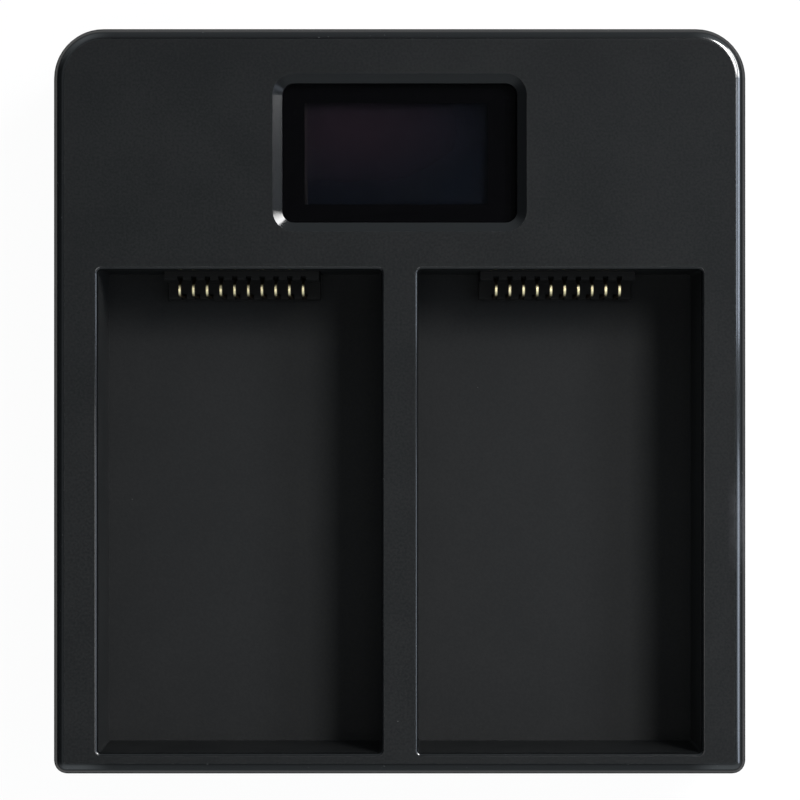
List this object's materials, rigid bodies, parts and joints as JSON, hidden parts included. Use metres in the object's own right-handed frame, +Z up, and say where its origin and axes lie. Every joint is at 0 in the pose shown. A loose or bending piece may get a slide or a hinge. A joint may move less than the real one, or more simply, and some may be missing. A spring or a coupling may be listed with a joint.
{
  "type": "battery charging dock",
  "caption": "Flat desktop charging dock with side-by-side open battery bays, gold leaf contacts at each bay's head, a small display window and a power inlet.",
  "frame": {"origin": "centre of the footprint on the surface that the rubber feet stand on", "axes": "+Z up out of the open bays, +Y from the bays to the display, +X to the right seen from above"},
  "size_m": [0.086, 0.0926, 0.018],
  "materials": {
    "housing_plastic": "fine moulded satin texture",
    "window_acrylic": "polished smoked acrylic",
    "black_tape": "matt adhesive frame",
    "display_glass": "dark polariser film on glass",
    "light_guide": "clear light guide on white film",
    "carrier_plastic": "plain moulding",
    "flex_film": "amber film",
    "circuit_board": "solder mask over laminate",
    "chip_resin": "moulded resin",
    "capacitor_can": "drawn can",
    "inlet_steel": "plated sheet steel",
    "terminal_plastic": "glass-filled moulding",
    "contact_gold": "gold flash on copper alloy",
    "screw_steel": "blackened steel",
    "foot_rubber": "moulded rubber"
  },
  "bodies": {
    "root": {"board_screws": "screw_steel", "bottom_cover": "housing_plastic", "charge_chip_left": "chip_resin", "charge_chip_right": "chip_resin", "contact_block_left": "terminal_plastic", "contact_block_right": "terminal_plastic", "contact_left_01": "contact_gold", "contact_left_02": "contact_gold", "contact_left_03": "contact_gold", "contact_left_04": "contact_gold", "contact_left_05": "contact_gold", "contact_left_06": "contact_gold", "contact_left_07": "contact_gold", "contact_left_08": "contact_gold", "contact_left_09": "contact_gold", "contact_left_10": "contact_gold", "contact_right_01": "contact_gold", "contact_right_02": "contact_gold", "contact_right_03": "contact_gold", "contact_right_04": "contact_gold", "contact_right_05": "contact_gold", "contact_right_06": "contact_gold", "contact_right_07": "contact_gold", "contact_right_08": "contact_gold", "contact_right_09": "contact_gold", "contact_right_10": "contact_gold", "display_window": "window_acrylic", "foot_front_left": "foot_rubber", "foot_front_right": "foot_rubber", "foot_rear_left": "foot_rubber", "foot_rear_right": "foot_rubber", "housing_screws": "screw_steel", "input_capacitor": "capacitor_can", "lcd_backlight": "light_guide", "lcd_frame": "carrier_plastic", "lcd_panel": "display_glass", "lcd_ribbon": "flex_film", "main_board": "circuit_board", "microcontroller": "chip_resin", "top_housing": "housing_plastic", "usb_shell": "inlet_steel", "usb_tongue": "terminal_plastic", "window_gasket": "black_tape"}
  },
  "joints": []
}
